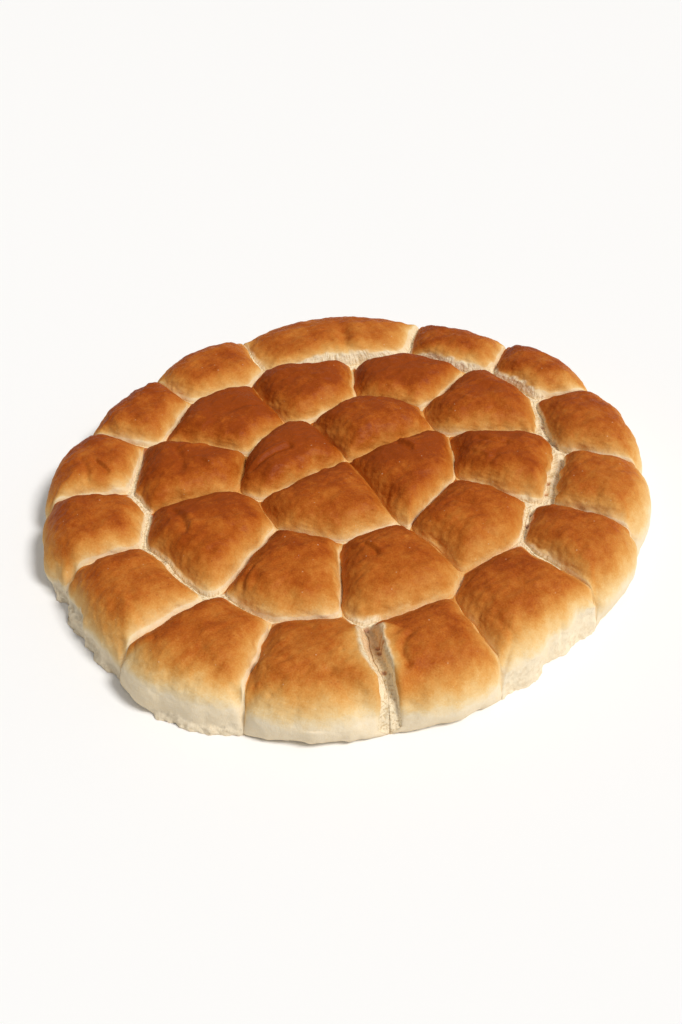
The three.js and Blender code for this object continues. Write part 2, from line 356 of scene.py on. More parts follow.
# One roll's form and grid, in millimetres. Crown heights run in node order.
rolls = {
    "columns": 224,
    "columnStep": 1.3,  # between columns on a big roll
    "soleRows": 6,
    "wallRows": 21,
    "shoulderRows": 72,
    "rowSpread": 0.6,  # power that spreads those rows from the foot to the crown
    "crowns": {
        "outer": [46, 46.5, 46, 46.5, 46, 45.5, 46.5, 45.5, 46, 45.5, 46.5, 46, 47, 46, 46],
        "middle": [48, 49, 49.5, 48, 49, 49, 50, 49.5, 48.5, 49],
        "inner": [49, 49.5, 50.5, 51],
    },
    "rimRise": 14.0,  # widest level of a free outer side
    "jointRise": 19.0,  # level up to which neighbours touch where a joint meets the rim
    "soleTuck": 9.0,
    "rimFall": 11.0,  # a joint's wall turns into a free side over this length
    "valley": 3.5,  # depth of a joint's crease under the rim's profile
    "capSlack": 4.0,  # how far the crust beside a joint may stand over the rim's profile
    "capBlend": 9.0,
    "creaseShoulder": (0.57, 1.6),  # powers of fall and rise: a rise over 1 opens the valley
    "rimShoulder": (0.9, 1.12),
    "openRise": 1.05,  # rise power where a crease pulled open, a steep wall
    "trenchFall": 0.07,  # fall power beside the open joint: flat right up to its edge
    "mouthCalm": 24.0,  # level that the crust beside that joint rises from
    "footShares": (0.13, 0.6),  # the foot's own outline and level die out over these shares of the way in
    "footRounding": 4.2,  # the crust's outline is rounded over this length
    "cornerRounding": 8.0,  # the same where a joint comes out at the rim
    "crownRounding": (4.5, 13.0),  # rounding just above the foot and towards the crown
    "rimCorner": (11.0, 26.0),  # the same where a joint comes out at the rim
    "cornerReach": (12.0, 55.0),  # distances from such a corner between which it ends
}


# How far places lie in from a roll's free side, along the round's radius.
def fromRim(side, places):
    clock, radius = clockAndRadius(side)
    middle = clockAndRadius(side.mean(0))[0]
    turn = turnFrom(clock, middle)
    order = np.argsort(turn)
    placeClock, placeRadius = clockAndRadius(places)
    return np.interp(turnFrom(placeClock, middle), turn[order], radius[order]) - placeRadius


# How far what stands over a limit is lowered to it: nothing under minus the width, all of it over the width,
# and a parabola between them.
def lowering(over, width):
    return np.where(over > width, over, np.maximum(over + width, 0.0) ** 2 / (4.0 * width))


# The rim's profile over a share s of the way in to the crown's middle: (1 - (1 - s)^(2 / fall))^(lift / 2).
def rimProfile(into, crown):
    fall, lift = rolls["rimShoulder"]
    rise = (1.0 - (1.0 - np.clip(into, 0.0, 1.0)) ** (2.0 / fall)) ** (0.5 * lift)
    return mix(rolls["rimRise"], crown, rise)


# A loop set out anew at even spacing, counter-clockwise, with its marks.
def evenLoop(cell):
    loop = cell["loop"][::-1]
    closed = np.vstack([loop, loop[:1]])
    length = np.concatenate([[0.0], np.cumsum(np.hypot(*np.diff(closed, axis=0).T))])
    count = max(rolls["columns"], int(length[-1] / rolls["columnStep"]))
    stops = np.arange(count) / count * length[-1]
    points = np.stack([np.interp(stops, length, closed[:, axis]) for axis in (0, 1)], -1)
    marks = {}
    for mark, values in cell["marks"].items():
        marks[mark] = np.interp(stops, length, np.append(values[::-1], values[-1]))
    return points, marks, length[-1] / count


# The shared wander of the creases, so that neighbours still meet.
def wander(points):
    moved = points.copy()
    for k, (height, size) in enumerate(plan["wander"]):
        for axis in (0, 1):
            moved[:, axis] += height * waveNoise(points, size, seed=11 + 2 * k + axis)
    return moved


# Inward normals of a counter-clockwise loop: the way along it turned left.
def inwardNormals(loop):
    along = np.roll(loop, -1, 0) - np.roll(loop, 1, 0)
    normal = np.stack([-along[:, 1], along[:, 0]], -1)
    return normal / np.linalg.norm(normal, axis=1, keepdims=True)


# Centre of a loop's area, from the cross products of its points.
def areaCentre(loop):
    after = np.roll(loop, -1, 0)
    cross = loop[:, 0] * after[:, 1] - after[:, 0] * loop[:, 1]
    return ((loop + after) * cross[:, None]).sum(0) / (3.0 * cross.sum())


# Outward normals of a grid of rows by columns, closed along the columns.
def gridNormals(grid):
    along = np.roll(grid, -1, 1) - np.roll(grid, 1, 1)
    normal = np.cross(along, np.gradient(grid, axis=0))
    return normal / np.maximum(np.linalg.norm(normal, axis=-1, keepdims=True), 1e-9)


# What lies along a roll's edge, called "at" from here on: the free side and how far its corners are, how open
# the crease is and where its floor lies, the open joint, and the torn band. What has no length is a share.
def rollEdge(cell):
    points, marks, spacing = evenLoop(cell)
    at = SimpleNamespace(name=cell["name"], points=points, marks=marks, spacing=spacing)
    at.crown = rolls["crowns"][cell["ring"]][cell["order"]]
    at.centre = areaCentre(points)
    at.side = points[marks["free"] > 0.5]
    at.toRim = np.full(len(points), 1e3)
    if len(at.side):
        at.toRim = np.min([np.hypot(*(points - end).T) for end in cell["rimEnds"]], axis=0)
    at.free = rounded(marks["free"], spacing, 1.5)
    at.push, at.standOff = trenchPush(points, cell)
    at.nearTrench = smooth(np.linalg.norm(at.push, axis=1) / trench["gap"], 0.1, 0.35)
    at.inTrench = smooth(at.standOff, 1.0, 3.5)
    opened, (share, length) = creaseGap(points), creases["uneven"]
    at.gap = np.maximum(opened, 2.0 * at.standOff)
    wave = share * waveNoise(points, length, seed=21)
    at.opened = opened * (1.0 + wave * smooth(opened, 2.0, 4.0))
    at.mouth = smooth(at.gap, *creases["mouth"]) * (1.0 - at.free)
    rim = np.where(marks["free"] > 0.5, 1.0, 1.0 - smooth(at.toRim, 0.0, rolls["rimFall"]))
    at.rim = rounded(rim * (1.0 - at.mouth), spacing, 2.0)
    at.soften = (1.0 - smooth(at.toRim, *rolls["cornerReach"])) * (1.0 - at.nearTrench)
    at.sharp = wander(points)
    at.inward = inwardNormals(rounded(at.sharp, spacing, 1.2))
    at.band = tornBand(points, cell["name"]) * (1.0 - at.free)
    at.crest = at.crown
    floor = mix(creases["floor"], creases["openFloor"], smooth(at.gap, creases["gap"], creases["wideGap"]))
    if len(at.side):
        at.crest = rimProfile(fromRim(at.side, points) / fromRim(at.side, at.centre), at.crown)
        depth = mix(*trench["depth"], 1.0 - smooth(at.toRim, 0.0, trench["mouthRun"]))
        floor = mix(np.minimum(floor, at.crest - rolls["valley"]), at.crest - depth, at.inTrench)
        at.band = np.maximum(at.band, trench["torn"].get(cell["name"], 0.0) * depth * at.inTrench)
    at.floor = floor + noises(points, creases["floorNoise"], seed=22)
    return at


# Rows from the sole's edge to the foot of the crust. On a crease: straight up to its floor and in along the
# ledge. On the rim: a quarter ellipse out to the widest level, drawn in over a tear by its flare.
def lowerRows(at, tear):
    u = np.linspace(0.0, 1.0, rolls["wallRows"])[:, None]
    ledge = np.clip(2.0 * u - 1.0, 0.0, 1.0)
    lean = trench["lean"].get(at.name, 0.0) * at.inTrench * smooth(at.toRim, 0.0, 20.0)
    crestRise = 0.5 * creases["crest"] * at.gap * (1.0 - at.inTrench) * (1.0 - ledge)
    creaseZ = (at.floor + crestRise + lean * ledge) * np.clip(2.0 * u, 0.0, 1.0)
    widest = mix(rolls["jointRise"], rolls["rimRise"], smooth(at.marks["swell"], 0.0, 0.8))
    widest = mix(widest, trench["mouthRise"], at.nearTrench)
    widest = rounded(np.maximum(widest, tear.top), at.spacing, 3.0)
    rimZ = widest * (1.0 - np.cos(u * np.pi / 2))
    flared = mix(tear.foot, tear.flare, np.clip(rimZ / np.maximum(tear.top, 1.0), 0.0, 1.0))
    tuck = rolls["soleTuck"] * at.marks["swell"] * (1.0 - tear.torn) * (1.0 - np.sin(u * np.pi / 2))
    parted = 0.5 * np.maximum(at.opened - 2.0, 0.0) * ledge * (1.0 - at.free)
    clear = creases["clearance"]
    inset = mix(clear + 0.5 * at.opened * ledge, clear + tuck + flared + parted, at.rim)
    soft = mix(rounded(at.sharp + at.push, at.spacing, rolls["footRounding"]),
               rounded(at.sharp + at.push, at.spacing, rolls["cornerRounding"]), at.soften[:, None])
    home = at.centre - soft
    home /= np.linalg.norm(home, axis=1, keepdims=True)
    home /= np.maximum((home * at.inward).sum(1), 0.55)[:, None]
    places = mix(at.sharp, soft, ledge[..., None]) + home * inset[..., None]
    return np.concatenate([places, mix(creaseZ, rimZ, at.rim)[..., None]], -1)


# Rows from the foot to the crown: the foot drawn towards the centre by cos^fall as it rises by sin^rise, so
# that at a share s of the reach the rise is (1 - s^(2 / fall))^(rise / 2). Beside a joint the crust is
# lowered to the rim's profile, so that creases run down to the foot with it. Also gives the rise to the tip.
def upperRows(at, lower):
    spacing = at.spacing
    foot, footZ = lower[-1, :, :2], lower[-1, :, 2]
    spokes = foot - at.centre
    reach = np.linalg.norm(spokes, axis=1)
    nearReach, farReach = [
        mix(rounded(reach, spacing, tight), rounded(reach, spacing, loose), at.soften)
        for tight, loose in zip(rolls["crownRounding"], rolls["rimCorner"])]
    calm = np.maximum(footZ, rolls["mouthCalm"] * np.maximum(at.mouth, at.nearTrench))
    calmZ = rounded(calm, spacing, rolls["crownRounding"][1])
    rimForm = rounded(at.marks["free"], spacing, 7.0)
    steep = rounded(smooth(at.standOff, 1.0, 4.0), spacing, 6.0)
    wide = rounded(smooth(at.gap, 3.0, 8.0), spacing, 5.0)
    (creaseFall, creaseRise), (rimFall, rimRise) = rolls["creaseShoulder"], rolls["rimShoulder"]
    fallPower = mix(mix(creaseFall, rimFall, rimForm), rolls["trenchFall"], steep)
    risePower = mix(mix(creaseRise, rolls["openRise"], wide), rimRise, rimForm)
    quarter = np.arange(1, rolls["shoulderRows"] + 1) / (rolls["shoulderRows"] + 1) * np.pi / 2
    fall = np.cos(quarter[:, None]) ** rolls["rowSpread"]
    rise = (1.0 - fall ** (2.0 / fallPower)) ** (0.5 * risePower)
    near, far = [1.0 - smooth(1.0 - fall, 0.0, share) for share in rolls["footShares"]]
    scale = fall * (farReach + (nearReach - farReach) * far + (reach - nearReach) * near) / reach
    startZ = calmZ + (footZ - calmZ) * (near * (1.0 - at.rim) + far * at.rim)
    places, z = at.centre + spokes * scale[..., None], mix(startZ, at.crown, rise)
    tipRise = at.crown - z[-1].mean()
    if len(at.side):
        into = fromRim(at.side, places) / fromRim(at.side, at.centre)
        over = z - rimProfile(into, at.crown) - rolls["capSlack"]
        z = z - lowering(over, rolls["capBlend"]) * smooth(z - footZ, 0.0, 8.0)
    return np.concatenate([places, z[..., None]], -1), tipRise


# Relief of the crust, in millimetres. A mark is a fold, dent or blister: from, to, width, height (dents are
# under 0) and the line's sag to its left. A fold lies low on a free side: its ends have heights too.
skinRelief = {
    "lumps": [(0.6, 42.0), (0.42, 17.0), (0.24, 8.0), (0.10, 4.2)],  # (height, length)
    "markReach": 110.0,  # a roll looks for marks this far from its centre
    "markScale": 2.1,
    "marks": [
        ((-74, -13), (-46, 7), 2.4, -1.0, 1.0), ((-74, -8), (-50, 9), 3.2, 0.5, 1.0),
        ((-132, 4), (-126, -17), 3.4, -0.75, 2.0), ((-113, 0), (-106, -18), 3.4, -0.45, -1.5),
        ((-125, -34), (-123, -35), 3.2, 0.8, 0.0), ((-125, 8), (-110, 14), 1.8, 0.45, 0.8),
        ((-126, 12), (-110, 18), 2.2, -0.4, 0.8), ((-116, -6), (-103, -12), 1.8, 0.4, 1.0),
        ((-128, -65), (-116, -89), 3.0, -0.9, 2.5), ((-122, -64), (-111, -85), 3.4, 0.5, 2.5),
        ((-100, -104), (-74, -94), 1.9, 0.3, 1.0), ((-98, -109), (-72, -99), 1.9, -0.3, 1.0),
        ((40, 17), (50, 8), 2.0, 0.8, 0.5), ((37, 14), (47, 5), 2.0, -0.6, 0.5),
        ((26, -43), (30, -33), 1.8, -0.5, 0.0), ((32, -45), (36, -36), 1.8, -0.4, 0.0),
        ((10, -102), (18, -112), 2.0, -0.7, 0.8), ((13, -100), (21, -110), 2.2, 0.5, 0.8),
        ((5, -157), (6, -157), 3.0, 0.9, 0.0), ((-18, -160), (-17, -160), 3.0, 0.9, 0.0),
        ((-74, -140), (-68, -124), 2.2, -0.5, 1.0), ((-69, -138), (-63, -122), 2.2, 0.4, 1.0),
        ((-81, -136), (-73, -120), 2.2, -0.35, 1.0), ((68, -57), (88, -57), 2.0, -0.5, 4.0),
        ((68, -71), (88, -71), 2.0, -0.4, -4.0), ((59, -84), (64, -93), 1.8, -0.6, 0.5),
        ((39, -185), (36, -211), 2.6, -0.9, -5.0), ((115, -134), (125, -139), 1.6, 0.5, 1.0),
        ((116, -138), (126, -143), 1.6, 0.4, 1.0), ((-192, -5), (-182, -15), 2.0, -0.8, 0.0),
        ((-190, -3), (-180, -13), 2.2, 0.5, 0.0), ((-204, -2), (-196, -24), 2.4, -0.6, 2.0),
        ((-3, 163), (-4, 181), 5.0, -1.6, 0.0), ((60, 52), (64, 84), 3.0, -0.5, 3.0),
        ((120, 14), (100, 22), 2.6, -0.7, 2.0), ((112, 2), (128, 6), 2.6, -0.5, -2.0),
        ((106, -2), (96, 8), 2.2, 0.5, 0.0), ((-96, 56), (-76, 66), 2.4, -0.5, 1.5),
        ((-36, 104), (-16, 98), 2.6, -0.45, -1.5), ((92, -166), (104, -178), 2.4, -0.5, 1.0),
        ((-74, -196), (-40, -206), 3.0, -0.45, 2.0), ((-66, -206), (-30, -222), 3.0, 0.35, 2.0),
        ((-146, -160), (-128, -186), 2.8, -0.5, 2.0), ((-158, -146), (-140, -172), 2.6, 0.4, 2.0)],
    "folds": [
        ((-169, -168, 31), (-160, -182, 6), 2.6, -1.3), ((-165, -171, 30), (-155, -185, 6), 3.2, 0.9),
        ((-131, -203, 14), (-116, -214, 4), 4.0, 2.6), ((-127, -199, 17), (-113, -210, 10), 2.2, -1.2),
        ((-22, -241, 10), (-21, -242, 1), 1.2, -1.4), ((-90, -229, 4), (-60, -238, 3), 2.4, 1.2)],
    "pits": [
        (-58.7, -208.1), (-55.0, -216.0), (-50.4, -228.7), (-57.0, -221.5), (-53.0, -212.0), (99.0, -175.5),
        (-6.0, -199.0)],
    "pit": (1.3, -0.8),  # width and height
}


# Height of the crust's relief: the noise of its lumps plus each mark's bump, dying out towards walls that
# touch.
def crustRelief(at, form):
    onRim = 0.35 + 0.65 * smooth(form.arc, 0.0, 25.0)
    lumps = noises(form.grid, skinRelief["lumps"], seed=31) * smooth(form.up, 0.0, 0.7)
    relief = lumps * mix(smooth(form.arc, 0.0, 6.0), onRim, at.rim)
    reachable = smooth(form.arc, 1.0, 5.0)
    for start, end, width, size, sag in skinRelief["marks"]:
        if np.hypot(*(np.array(start) - at.centre)) < skinRelief["markReach"]:
            bump = lineBump(form.grid, start, end, width, skinRelief["markScale"] * size, sag)
            relief = relief + bump * reachable
    for spot in skinRelief["pits"]:
        relief = relief + spotBump(form.grid, spot, 0.1, *skinRelief["pit"]) * reachable
    for start, end, width, size in skinRelief["folds"]:
        relief = relief + lineBump(form.grid, start, end, width, size) * at.rim
    return relief


# Marks of torn crumb, 0 to 1: along creases up to the band's ragged height, on a torn rim under the tear's
# edge, and the pockets in both.
def crumbMarks(at, tear, form):
    inCrease, inTrench, length = tears["ragged"]
    wave = mix(inCrease, inTrench, at.inTrench) * waveNoise(form.grid, length, seed=61)
    seam = smooth(at.band * (1.0 + wave) - form.arc, -2.0, 2.5) * smooth(at.band, 0.8, 2.5)
    form.seam = seam * mix(smooth(form.up, 0.3, 0.45), 1.0, at.rim)
    under = tear.top + noises(form.grid, tears["rimEdge"], seed=26) - form.grid[..., 2]
    form.rimCrumb = tear.torn * smooth(under, -2.5, 2.0)
    form.crumb = np.maximum(form.seam, form.rimCrumb)
    radius = tears["pocket"]["radius"]
    holes = sum(spotBump(form.grid, spot, 0.6, radius, 1.0) for spot in tears["pockets"])
    form.pocket = holes * smooth(form.crumb, 0.5, 0.9)


# Height of the torn crumb's crags: noise, more of it on a rough rim, less the pockets, a little sunk.
def crumbRelief(at, tear, form):
    crag = noises(form.grid, tears["crag"], seed=71) * (0.6 + 0.9 * tear.rough)
    crag = crag + tear.rough * noises(form.grid, tears["steps"], seed=73)
    crag = crag - tears["pocket"]["depth"] * form.pocket - 0.3
    return crag * np.maximum(smooth(form.up, 0.5, 0.7), at.rim)


# Browning of the crust: a bake from 0, pale, to 1, in node order, and what lowers it.
browning = {
    "bake": {
        "outer": [0.88, 0.85, 0.80, 0.70, 0.75, 0.77, 0.76, 0.66, 0.73, 0.72, 0.80, 0.84, 0.90, 0.81, 0.75],
        "middle": [1.02, 0.88, 0.90, 0.80, 0.77, 0.80, 0.88, 0.95, 1.10, 1.0],
        "inner": [0.97, 0.84, 1.10, 0.92],
    },
    "lean": (-0.0014, 0.0042),  # browner towards the back left, a share for each millimetre: partly the bake, partly painted shade on slopes turned from the key
    "pale": {  # (pale up to, fully browned from) in millimetres above a crease or the foot
        "outer": {"free": (4.0, 38.0), "joint": (2.0, 22.0), "seam": (1.2, 21.0)},
        "middle": {"joint": (1.6, 21.0), "seam": (1.4, 21.0)},
        "inner": {"joint": (1.1, 20.0), "seam": (1.1, 20.0)},
    },
    "rimDrop": [7, 6, 4, 2, 3, -5, 3, 1, -4, 6, 10, 10, 9, 8, 7],  # how much lower it comes on an outer roll
    "litSide": (0.50, -0.87),  # walls that face this way, towards the key, stay paler: painted light; walls facing away stay browner: painted shade
    "creaseTone": (0.14, 0.72),  # share of the bake down in a crease: paler walls facing the key, browner walls facing away, painted light and shade
    "rimTone": 0.06,  # share of the bake low on the rim
    "edgeShade": {"middle_roll_04": 0.42, "middle_roll_05": 0.40,  # least share at these rolls' crease edges: painted shade where a neighbour's crest shadows them
                 "middle_roll_08": 0.48, "inner_roll_04": 0.42},
    "bandLift": 0.7,  # torn crumb lifts the pale band by this share of its height
    "sway": [(1.2, 1.9, 26.0), (0.3, 0.8, 7.0)],  # (by a crease, on the rim, length) of the band's unevenness
    "power": (0.55, 1.0),  # of the browning over its band, by a crease and on the rim
    "rimWays": (0.75, 0.7),  # weights of the way in from the rim and of the height, beside a joint
    "mottle": [(0.08, 24.0), (0.045, 8.0)],
}


# The bake: from the lowest share at the pale end of the band to all of it at the brown end, times the roll's
# own bake, its lean and mottles. Walls facing the key stay paler and those facing away browner, painted light
# and shade, and the lean towards the back left is partly painted shade. Crumb takes none on a torn rim, some
# in pockets and deep in the open joint, painted shade down in them.
def crustBake(cell, at, form):
    z, lift = form.grid[..., 2], browning["bandLift"] * at.band
    # Walls facing the key get a wider, paler band and walls facing away a browner one: painted light and
    # shade.
    facingKey = rounded(-(at.inward @ np.array(browning["litSide"])), at.spacing, 6.0)
    palest, brownest = [rounded(at.marks[mark], at.spacing, 4.0) for mark in ("palest", "brownest")]
    palest, brownest = palest * (1.2 + 0.9 * facingKey) + lift, brownest * (1.0 + 0.2 * facingKey) + lift
    lowest = mix(*browning["creaseTone"], smooth(-facingKey, -0.7, 0.9))
    # Painted shade at the crease edges of the rolls listed in it.
    lowest = np.maximum(lowest, browning["edgeShade"].get(at.name, 0.0))
    if len(at.side):
        rimPale, rimBrown = np.array(browning["pale"]["outer"]["free"]) - browning["rimDrop"][cell["order"]]
        palest, brownest = mix(palest, rimPale, at.rim), mix(brownest, rimBrown, at.rim)
        lowest = mix(mix(lowest, browning["rimTone"], at.rim), browning["creaseTone"][0], at.mouth)
        palest = palest + trench["pale"].get(at.name, 0.0) * at.inTrench
    sway = sum(mix(inCrease, onRim, at.rim) * waveNoise(form.grid, length, seed=81 + k)
               for k, (inCrease, onRim, length) in enumerate(browning["sway"]))
    sway = sway * mix(smooth(form.arc, 0.5, 8.0), 1.0, at.rim)
    way = form.arc + sway + at.rim * (np.minimum(z, form.footZ) - rolls["rimRise"])
    share = np.clip((way - palest) / (brownest - palest), 0.0, 1.0) ** mix(*browning["power"], at.rim)
    if len(at.side):
        inWeight, upWeight = browning["rimWays"]
        way = inWeight * fromRim(at.side, form.grid) + upWeight * (z - rolls["rimRise"]) + sway
        share = np.minimum(share, np.clip((way - rimPale) / (rimBrown - rimPale), 0.0, 1.0))
    # Browner towards the back left: partly the bake, partly painted shade on the slopes turned away from the
    # key.
    shadeLean = 1.0 + (form.grid[..., :2] - at.centre) @ np.array(browning["lean"])
    mottle = 1.0 + noises(form.grid, browning["mottle"], seed=83)
    bake = browning["bake"][cell["ring"]][cell["order"]] * mix(lowest, 1.0, share) * shadeLean * mottle
    # Pockets take a browner bake: painted shade down in the holes.
    holeShade = np.clip(1.4 * form.pocket, 0.0, 1.0)
    bake = np.where(form.crumb > 0.02, mix(bake, tears["pocket"]["bake"], holeShade), bake)
    bake = bake * (1.0 - form.rimCrumb)
    # Painted shade deep in the open joint: a browner bake and less crumb showing there.
    trenchShadeBake, lostToShade = trench["shade"]
    deep = at.inTrench * smooth(at.crest - z, 0.8, 1.52) * smooth(form.seam, 0.6, 0.95)
    deep = deep * smooth(at.toRim, 8.0, 50.0)
    form.bake = np.clip(mix(bake, np.maximum(bake, trenchShadeBake), deep), 0.0, 1.0)
    crumb = np.maximum(form.seam * (1.0 - lostToShade * deep), tears["rimShare"] * form.rimCrumb)
    form.crumb = crumb * (1.0 - np.minimum(holeShade, 0.6))


strands = {"along": 0.15, "even": 0.85, "rim": 0.45}  # how much the crumb's coordinates grow with the place


# Coordinates that stretch crumb into strands up a wall: the girth round it and a little of the way up. Where
# it is torn evenly they are the place itself.
def strandPlaces(at, tear, form):
    count = len(at.points)
    turn = np.arange(count) / count * 2 * np.pi
    girth = at.spacing * count / (2 * np.pi)
    up = strands["along"] * (form.arc + form.grid[..., 2] * (form.arc == 0.0))
    around = [np.broadcast_to(girth * wave(turn), up.shape) for wave in (np.cos, np.sin)]
    evenly = np.maximum(tear.torn, smooth(at.standOff, 1.0, 4.0))[:, None]
    strand = mix(np.stack([*around, up], -1), strands["even"] * form.grid, evenly)
    return strand * mix(1.0, strands["rim"], tear.torn)[:, None]


# One roll as rows from the sole's edge to the crown, in millimetres about the hub, with its surface marks:
# the plain rows, then the relief along their normals. The arc is the way up from the foot, 0 on the wall.
def rollForm(cell):
    at = rollEdge(cell)
    tear = rimTear(at)
    lower = lowerRows(at, tear)
    upper, tipRise = upperRows(at, lower)
    arc = np.linalg.norm(np.diff(upper, axis=0, prepend=lower[-1:]), axis=-1).cumsum(0)
    wall = np.repeat(np.linspace(0.0, 1.0, len(lower))[:, None], len(at.points), 1)
    form = SimpleNamespace(grid=np.concatenate([lower, upper]), centre=at.centre, footZ=lower[-1, :, 2])
    form.arc = np.concatenate([np.zeros(wall.shape), arc])
    form.up = np.concatenate([wall, np.ones(arc.shape)])
    crumbMarks(at, tear, form)
    relief = crustRelief(at, form) * (1.0 - form.crumb) + crumbRelief(at, tear, form) * form.crumb
    form.grid = form.grid + gridNormals(form.grid) * relief[..., None]
    form.grid[..., 2] = np.maximum(form.grid[..., 2], 0.0)
    form.grid[0, :, 2] = 0.0
    form.top = np.array([*at.centre, form.grid[-1, :, 2].mean() + tipRise])
    crustBake(cell, at, form)
    form.strand = strandPlaces(at, tear, form)
    return form


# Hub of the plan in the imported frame, from where the closed-in rolls lie in both.
def hubPlace(cells):
    shifts = []
    for cell in cells:
        if cell["ring"] != "outer":
            low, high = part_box(cell["name"])
            packed = np.array([(low.x + high.x) / 2, (low.y + high.y) / 2]) / mm
            shifts.append(packed - (cell["loop"].min(0) + cell["loop"].max(0)) / 2)
    return np.mean(shifts, axis=0)


# A closed mesh over a grid of rows, fanned shut at the crown and, over flat rows, at the sole.
def rollMesh(cell, form, hub, materials):
    columns = form.grid.shape[1]
    shrink = np.linspace(0.0, 1.0, rolls["soleRows"] + 1)[1:-1, None, None]
    middle = np.array([*form.centre, 0.0])
    sole = middle + (form.grid[:1] - middle) * shrink
    rows = np.concatenate([sole, form.grid])
    points = np.concatenate([rows.reshape(-1, 3), [middle, form.top]])
    points[:, :2] += hub
    rowCount, pole = len(rows), len(points) - 2
    low = np.arange((rowCount - 1) * columns).reshape(rowCount - 1, columns)
    nextLow = np.roll(low, -1, 1)
    quads = np.stack([low, nextLow, nextLow + columns, low + columns], -1).reshape(-1, 4)
    first, last = np.arange(columns), np.arange(columns) + (rowCount - 1) * columns
    soleFan = np.stack([np.roll(first, -1), first, np.full(columns, pole)], -1)
    crownFan = np.stack([last, np.roll(last, -1), np.full(columns, pole + 1)], -1)

    mesh = bpy.data.meshes.new(cell["name"] + ".bread")
    corners = np.concatenate([quads.ravel(), soleFan.ravel(), crownFan.ravel()])
    sizes = np.concatenate([np.full(len(quads), 4), np.full(2 * columns, 3)])
    mesh.vertices.add(len(points))
    mesh.vertices.foreach_set("co", (points * mm).ravel())
    mesh.loops.add(len(corners))
    mesh.loops.foreach_set("vertex_index", corners.astype(np.int32))
    mesh.polygons.add(len(sizes))
    mesh.polygons.foreach_set("loop_start", np.concatenate([[0], np.cumsum(sizes)[:-1]]).astype(np.int32))
    underside = np.zeros(len(sizes), np.int32)
    underside[:len(sole) * columns] = 1
    underside[len(quads):len(quads) + columns] = 1
    mesh.polygons.foreach_set("material_index", underside)
    mesh.polygons.foreach_set("use_smooth", np.ones(len(sizes), bool))
    mesh.update(calc_edges=True)
    mesh.validate()
    for mark, values in (("bake", form.bake), ("crumb", form.crumb)):
        values = np.concatenate([np.zeros(len(sole) * columns), values.ravel(), [0.0, values[-1].mean()]])
        mesh.attributes.new(mark, "FLOAT", "POINT").data.foreach_set("value", values.astype(np.float32))
    strand = np.concatenate([np.repeat(form.strand[:1], len(sole), 0), form.strand]).reshape(-1, 3)
    strand = (np.concatenate([strand, np.zeros((2, 3))]) * mm).astype(np.float32)
    mesh.attributes.new("strand", "FLOAT_VECTOR", "POINT").data.foreach_set("vector", strand.ravel())
    for material in materials:
        mesh.materials.append(material)
    roll = bpy.data.objects.new(cell["name"] + ".bread", mesh)
    bpy.context.scene.collection.objects.link(roll)
    return roll


# A node group with named sockets: inputs as (name, type, default), outputs as (name, type).
def newGroup(name, inputs, outputs):
    group = bpy.data.node_groups.new(name, "ShaderNodeTree")
    for socket, kind, value in inputs:
        made = group.interface.new_socket(socket, in_out="INPUT", socket_type="NodeSocket" + kind)
        if value is not None:
            made.default_value = value
    for socket, kind in outputs:
        group.interface.new_socket(socket, in_out="OUTPUT", socket_type="NodeSocket" + kind)
    return group, group.nodes.new("NodeGroupInput").outputs, group.nodes.new("NodeGroupOutput").inputs


# A node with its settings and inputs: a socket is linked, a number or colour is set. An input goes by its
# name, or by its number as in0, in1.
def addNode(tree, kind, settings=None, **inputs):
    node = tree.nodes.new(kind)
    for name, value in (settings or {}).items():
        setattr(node, name, value)
    for name, value in inputs.items():
        numbered = name.startswith("in") and name[2:].isdigit()
        socket = node.inputs[int(name[2:]) if numbered else name.replace("_", " ")]
        if isinstance(value, bpy.types.NodeSocket):
            tree.links.new(value, socket)
        else:
            socket.default_value = (*value, 1.0) if socket.type == "RGBA" else value
    return node.outputs


# One step of arithmetic on sockets or numbers.
def mathNode(tree, operation, *values):
    inputs = {f"in{i}": value for i, value in enumerate(values)}
    return addNode(tree, "ShaderNodeMath", {"operation": operation}, **inputs)[0]


# Fractal noise at a scale for each metre.
def noiseNode(tree, vector, scale, detail=2.0, roughness=0.5):
    return addNode(tree, "ShaderNodeTexNoise", Vector=vector, Scale=scale, Detail=detail, Roughness=roughness)


# A value taken from low..high to start..end, by a smooth step or straight.
def rangeNode(tree, value, low, high, start=0.0, end=1.0, kind="SMOOTHSTEP"):
    return addNode(tree, "ShaderNodeMapRange", {"interpolation_type": kind}, Value=value, From_Min=low,
                   From_Max=high, To_Min=start, To_Max=end)[0]


# Colour of a value along stops, given as (place, colour).
def colourRamp(tree, value, stops):
    ramp = tree.nodes.new("ShaderNodeValToRGB")
    tree.links.new(value, ramp.inputs[0])
    ramp.color_ramp.interpolation = "B_SPLINE"
    while len(ramp.color_ramp.elements) < len(stops):
        ramp.color_ramp.elements.new(0.5)
    for element, (place, colour) in zip(ramp.color_ramp.elements, stops):
        element.position = place
        element.color = (*colour, 1.0)
    return ramp.outputs[0]


# Colour a share of the way from a to b.
def mixColour(tree, factor, a, b):
    return addNode(tree, "ShaderNodeMix", {"data_type": "RGBA"}, in0=factor, in6=a, in7=b)[2]


crustTones = {
    "stops": [
        (0.00, (0.88, 0.77, 0.60)),  # unbaked skin
        (0.08, (0.86, 0.69, 0.43)),
        (0.18, (0.83, 0.57, 0.25)),
        (0.36, (0.71, 0.34, 0.075)),
        (0.58, (0.55, 0.172, 0.022)),
        (0.80, (0.41, 0.084, 0.005)),
        (1.00, (0.26, 0.042, 0.002)),  # the brownest crowns
    ],
    "mottles": [(110.0, 0.45), (330.0, 0.7), (900.0, 1.7)],  # (scale, weight)
    "mottleFrom": 0.25,  # share of the mottles on unbaked skin
}


